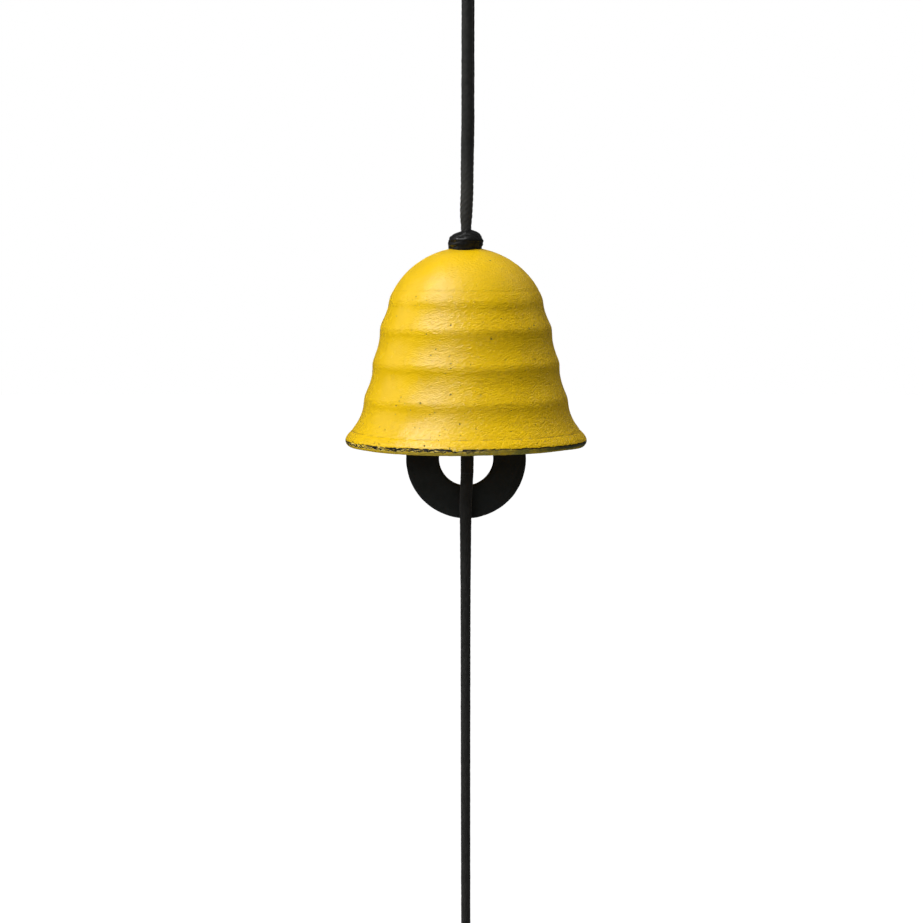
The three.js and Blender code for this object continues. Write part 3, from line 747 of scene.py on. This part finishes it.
def crown_knot():
    """Flattened turns of cord, pulled tight on each other and pressed on the bell."""
    height, left, right = smooth_line(CROWN_OUTLINE, CROWN_STEP).T
    middle, half = (left + right) / 2, (right - left) / 2
    deep = half + CROWN_DEEPER * by_table(DEEPER_TABLE, height)
    theta = angles(CROWN_SIDES)
    skin = np.stack([middle[:, None] + half[:, None] * np.cos(theta), deep[:, None] * np.sin(theta),
                     height[:, None] * np.ones(CROWN_SIDES)], axis=-1)
    around = np.roll(skin, -1, axis=1) - np.roll(skin, 1, axis=1)
    normal = np.cross(around, np.gradient(skin, axis=0))
    normal /= np.linalg.norm(normal, axis=-1)[..., None]
    # Each turn is round between its edges, which wander around the knot and are deeper in some places
    edges = np.array([
        [edge + EDGE_LEAN * math.cos(a - 1.9 * k) + EDGE_WANDER * round_noise(1.2, a, 3.0 * k) for a in theta]
        for k, edge in enumerate(CROWN_EDGES)])
    bite = np.array([[round_noise(1.5, a, 0.9 * h + 7.0) for a in theta] for h in height])
    bite = (0.04 + 0.06 * np.clip(bite, -0.6, 1)) * by_table(BITE_TABLE, np.sin(theta))
    dent = np.empty(bite.shape)
    for j in range(CROWN_SIDES):
        k = np.clip(np.searchsorted(edges[:, j], height) - 1, 0, len(edges) - 2)
        low, high = edges[k, j], edges[k + 1, j]
        dent[:, j] = np.abs(2 * (height - low) / (high - low) - 1).clip(0, 1) ** 2.4
    lumps = np.zeros(bite.shape)
    for turned, level, wide, tall, out in CROWN_LUMPS:
        off = np.degrees(np.angle(np.exp(1j * (theta - math.radians(turned - 90)))))
        lumps += out * np.exp(-(off[None] / wide) ** 2 - ((height[:, None] - level) / tall) ** 2)
    skin = skin + (lumps - bite * dent)[..., None] * normal
    ends = np.array([(middle[0], 0, height[0]), (middle[-1], 0, height[-1])])
    verts = np.vstack([skin.reshape(-1, 3), ends]) + np.array((0, 0, CROWN_Z))
    obj = new_mesh("crown_knot_wraps", verts, tube_faces(len(height), CROWN_SIDES))
    wrinkle(obj, depth=0.07, size=1.1, seed=4.2)
    # Nothing of it goes into the bell's dome
    co = coordinates(obj)
    reach = np.hypot(co[:, 0], co[:, 1])
    dome = LIP_Z + DOME_MID + np.sqrt(DOME_R ** 2 - np.maximum(reach, LAND_R) ** 2)
    co[:, 2] = np.maximum(co[:, 2], dome + PRESSED_GAP)
    move_vertices(obj, co)
    return obj


dress(crown_knot(), KNOT, ["crown_knot"], "suspension")
loop_knot = dress(round_knot("loop_knot_wraps", (0, 0, LOOP_KNOT_Z), LOOP_KNOT_R, seed=0.7),
                  KNOT, ["loop_knot"], "loop_knot")
dress(round_knot("inner_knot_wraps", (0, 0, INNER_KNOT_Z), INNER_KNOT_R, seed=2.1),
      KNOT, ["inner_knot"], "inner_knot")
end_knot = dress(round_knot("end_knot_wraps", (0, -CORD_FRONT, END_KNOT_Z), END_KNOT_R, seed=3.6),
                 KNOT, ["end_knot"], "wind_cord")

# Bell
BELL_SIDES = 340
SKIN_STEP, EDGE_RUN, EDGE_POINTS = 0.32, 4.0, 22  # spacing outside, and the lip's edge with its finer points
MOUTH_ROUND = 0.5  # rounding of the lip's inner edge
# By height: share of the ridges' wander, share of their hang at the front, and share of the lip's drop
WANDER_TABLE = ((3.0, 0), (10.0, 1), (34.0, 1), (42.0, 0))
HANG_TABLE = ((10.0, 0), (16.0, 0.6), (20.0, 1), (30.0, 1), (37.0, 0.7), (41.0, 0))
DROP_TABLE = ((0.0, 1), (2.2, 0))
DROP_AROUND = ((-0.5, 1), (0.15, 0), (0.8, 0), (0.96, 1))  # the drop's share from left, -1, to right, 1
RIDGE_WANDER = 0.4


def arc(cr, ch, radius, start, end, count):
    a = np.radians(np.linspace(start, end, count))
    return np.stack([cr + radius * np.cos(a), ch + radius * np.sin(a)], axis=1)


def softened(line, spread, step=0.1):
    """A flat line with its corners rounded, as evenly spaced points."""
    length = run_of(line)[-1]
    even = places(line, np.linspace(0, length, int(length / step) + 1))
    reach = int(4 * spread / step)
    weight = np.exp(-0.5 * (np.arange(-reach, reach + 1) * step / spread) ** 2)
    wide = np.pad(even, ((reach, reach), (0, 0)), mode="edge")
    return np.stack([np.convolve(wide[:, k], weight / weight.sum(), "valid") for k in (0, 1)], axis=1)


def bell_outside(shoulder):
    """(radius, height) from the land on the crown down to the lip's edge."""
    crown = math.degrees(math.acos(LAND_R / DOME_R))
    parts = [arc(0, DOME_MID, DOME_R, crown, shoulder, 200)]
    r0, h0 = parts[0][-1]
    t = np.linspace(0, 1, 60)[1:]
    for h1, r1, slope, power in RIDGES:
        share = slope * t + (1 - slope) * t ** power
        parts.append(np.stack([r0 + (r1 - r0) * share, h0 + (h1 - h0) * t], axis=1))
        r0, h0 = r1, h1
    edge = arc(EDGE_LIP_R - EDGE_R, EDGE_R, EDGE_R, 40, -90, 40)
    r1, h1 = edge[0]
    t = np.linspace(0, 1, 80)[1:]
    parts.append(np.stack([r0 + (r1 - r0) * t ** FLARE_POWER, h0 + (h1 - h0) * t], axis=1))
    skin = softened(np.vstack([*parts, edge[1:]]), SOFTNESS)
    end = run_of(skin)[-1]
    wide = np.arange(0, end - EDGE_RUN, SKIN_STEP)
    fine = np.linspace(end - EDGE_RUN, end, EDGE_POINTS)
    return places(skin, np.concatenate([wide, fine]))


def bell_profile():
    """(radius, height) down the outside from the crown's hole, round the lip and up the inside, and the
    number of points outside."""
    shoulder = math.degrees(math.asin((SHOULDER_H - DOME_MID) / DOME_R))
    skin = bell_outside(shoulder)
    land = np.linspace((CROWN_HOLE_R, skin[0, 1]), skin[0], 8)[:-1]
    mouth_r, inside_r = LIP_R - LIP_W, DOME_R - WALL
    under = np.linspace(skin[-1], (mouth_r + MOUTH_ROUND, 0), 8)[1:]
    turn = arc(mouth_r + MOUTH_ROUND, MOUTH_ROUND, MOUTH_ROUND, 270, 200, 6)[1:]
    t = np.linspace(0.06, 1, 18)
    flare = np.stack([THROAT_R + (mouth_r - THROAT_R) * (1 - t) ** MOUTH_POWER, THROAT_H * t], axis=1)
    top = arc(0, DOME_MID, inside_r, shoulder, math.degrees(math.acos(SEAT_R / inside_r)), 24)
    wall = np.linspace(flare[-1], top[0], 22)[1:-1]
    seat = np.linspace((SEAT_R, SEAT_H), (CROWN_HOLE_R, SEAT_H), 8)[1:]
    hole = np.linspace((CROWN_HOLE_R, SEAT_H), (CROWN_HOLE_R, skin[0, 1]), 6)[1:-1]
    return np.vstack([land, skin, under, turn, flare, wall, top, seat, hole]), len(land) + len(skin)


def bell_sag(profile, is_outside):
    """How far up each point of the bell is moved, by point of the profile and by side."""
    theta = angles(BELL_SIDES)
    r, h = profile.T
    # The ridges run a little up and down around the bell, but not at the lip, at the crown or inside
    sag = np.zeros((len(h), BELL_SIDES))
    for i, amount in enumerate(by_table(WANDER_TABLE, h) * is_outside):
        if amount:
            sag[i] = [RIDGE_WANDER * amount * round_noise(2.6, a, h[i] / 6.0) for a in theta]
    hang = FRONT_SAG * by_table(HANG_TABLE, h) * is_outside
    sag -= hang[:, None] * np.maximum(0, -np.sin(theta))[None]
    # The lip hangs a little lower to the left, and at the far right
    lower = LIP_DROP * by_table(DROP_TABLE, h) * (r > THROAT_R)
    return sag - lower[:, None] * by_table(DROP_AROUND, np.cos(theta))[None]


def bell_mesh():
    """The casting: its profile turned about the axis, with scribed lines and some unevenness."""
    profile, outside = bell_profile()
    is_outside = np.arange(len(profile)) < outside
    along = np.roll(profile, -1, axis=0) - np.roll(profile, 1, axis=0)
    along /= np.linalg.norm(along, axis=1)[:, None]
    normal = np.stack([-along[:, 1], along[:, 0]], axis=1)  # out of the wall
    off = [profile[:, 1] - level for level, _, _ in SCRIBED]
    lines = sum(-GROOVE_DEPTH * np.exp(-(distance / GROOVE_WIDTH) ** 2) for distance in off)
    sag = bell_sag(profile, is_outside)
    theta = angles(BELL_SIDES)
    verts = np.empty((len(profile), BELL_SIDES, 3))
    for i, (r, height) in enumerate(profile):
        grain = 0.03 if is_outside[i] else 0.018
        move = np.empty(BELL_SIDES)
        for j, a in enumerate(theta):
            p = Vector((r * math.cos(a), r * math.sin(a), height))
            move[j] = uneven(p, depth=0.10, size=11.0) + uneven(p, depth=grain, size=1.1)
        fade = min(1.0, max(0.0, (r - KNOT_SEAT_R) / 3.0))
        shift = move * fade + lines[i] * is_outside[i]
        verts[i, :, 0] = (r + shift * normal[i, 0]) * np.cos(theta)
        verts[i, :, 1] = (r + shift * normal[i, 0]) * np.sin(theta)
        verts[i, :, 2] = height + shift * normal[i, 1] + sag[i] + LIP_Z
    faces = grid_faces(len(profile), BELL_SIDES, close_rows=True)
    return new_mesh("bell_casting", verts.reshape(-1, 3), faces)


dress(bell_mesh(), PAINT, ["bell_shell"], "bell")

# Clapper ring
RING_SIDES, RING_BEVEL, BEVEL_POINTS = 200, 0.55, 7
FACE_POINTS, RIM_POINTS = 14, 5


def ring_mesh():
    """A flat ring with rounded edges, uneven as cast."""
    inner, outer, face = RING_HOLE_R + RING_BEVEL, RING_R - RING_BEVEL, RING_T / 2 - RING_BEVEL
    corners = []
    for k, (r, y) in enumerate(((inner, -face), (outer, -face), (outer, face), (inner, face))):
        corners.append(arc(r, y, RING_BEVEL, 180 + 90 * k, 270 + 90 * k, BEVEL_POINTS))
    section = []
    for k, corner in enumerate(corners):
        count = FACE_POINTS if k % 2 == 0 else RIM_POINTS
        section += [corner, np.linspace(corner[-1], corners[(k + 1) % 4][0], count)[1:-1]]
    section = np.vstack(section)
    middle = np.array([(RING_R + RING_HOLE_R) / 2, 0])
    verts = []
    for r, y in section:
        out = np.array([r, y]) - middle
        out /= np.linalg.norm(out)
        for a in angles(RING_SIDES):
            p = Vector((r * math.cos(a), y, r * math.sin(a)))
            move = uneven(p, depth=0.07, size=5.0) + uneven(p, depth=0.03, size=1.2)
            reach, depth = r + move * out[0], y + move * out[1]
            verts.append((reach * math.cos(a), depth, reach * math.sin(a) + RING_Z))
    return new_mesh("clapper_casting", verts, grid_faces(len(section), RING_SIDES, close_rows=True))


dress(ring_mesh(), IRON, ["clapper_ring"], "clapper")

# Floor, which throws no light on the object
FLOOR_Z, FLOOR_HALF = -1500.0, 20000.0
floor_corners = [(x * FLOOR_HALF, y * FLOOR_HALF, FLOOR_Z) for x, y in ((-1, -1), (1, -1), (1, 1), (-1, 1))]
floor = new_mesh("floor", floor_corners, [(0, 1, 2, 3)])
floor.data.materials.append(Nodes("pale_floor").set(
    Base_Color=(0.9, 0.9, 0.9, 1), Roughness=0.9, Emission_Color=(1, 1, 1, 1), Emission_Strength=1.0))
floor.visible_diffuse = False
floor.visible_glossy = False
floor.visible_shadow = False

# White background, which throws only a little light
SKY_LOW, SKY_HIGH, SKY_BLEND = 0.03, 0.06, 0.3  # light from below and above, and where they blend
world = bpy.data.worlds.new("studio")
bpy.context.scene.world = world
world.use_nodes = True
tree = world.node_tree
back = tree.nodes["Background"]
where = tree.nodes.new("ShaderNodeTexCoord")
axes = tree.nodes.new("ShaderNodeSeparateXYZ")
sky = tree.nodes.new("ShaderNodeMapRange")
path = tree.nodes.new("ShaderNodeLightPath")
seen = tree.nodes.new("ShaderNodeMath")
seen.operation = "MAXIMUM"
tree.links.new(where.outputs["Generated"], axes.inputs[0])
tree.links.new(axes.outputs["Z"], sky.inputs["Value"])
sky.inputs["From Min"].default_value = -SKY_BLEND
sky.inputs["From Max"].default_value = SKY_BLEND
sky.inputs["To Min"].default_value = SKY_LOW
sky.inputs["To Max"].default_value = SKY_HIGH
tree.links.new(sky.outputs[0], seen.inputs[0])
tree.links.new(path.outputs["Is Camera Ray"], seen.inputs[1])
tree.links.new(seen.outputs[0], back.inputs["Strength"])
back.inputs["Color"].default_value = (1, 1, 1, 1)

# Soft lights: degrees to the right of the front, degrees up, size, power, and whether gloss shows them
LIGHTS = {
    "key": (-36, 28, 0.6, 4.7, False),
    "high_key": (-60, 54, 0.55, 5.6, True),
    "top": (-45, 82, 0.6, 0.7, True),
    "side": (-100, 25, 0.6, 0.7, True),
    "fill": (40, -20, 0.6, 0.9, False),
    "bounce": (-90, -45, 0.6, 2.2, False),
    "below": (0, -86, 0.6, 2.5, False),
    "rim": (110, 45, 0.6, 2.7, False),
    "back": (180, 25, 0.6, 4.0, False),
}
LIT_POINT, LIGHT_DISTANCE = Vector((0, 0, -0.12)), 0.9
for name, (azimuth, elevation, size, power, sheen) in LIGHTS.items():
    light = bpy.data.lights.new(name, "AREA")
    light.shape = "SQUARE"
    light.size = size
    light.energy = power
    lamp = bpy.data.objects.new(name, light)
    bpy.context.collection.objects.link(lamp)
    a, e = math.radians(azimuth), math.radians(elevation)
    away = Vector((math.sin(a) * math.cos(e), -math.cos(a) * math.cos(e), math.sin(e)))
    lamp.location = LIT_POINT + LIGHT_DISTANCE * away
    lamp.rotation_euler = (-away).to_track_quat("-Z", "Y").to_euler()
    lamp.visible_camera = False
    lamp.visible_glossy = sheen

scene = bpy.context.scene
scene.view_settings.view_transform = "Standard"
scene.view_settings.look = "None"
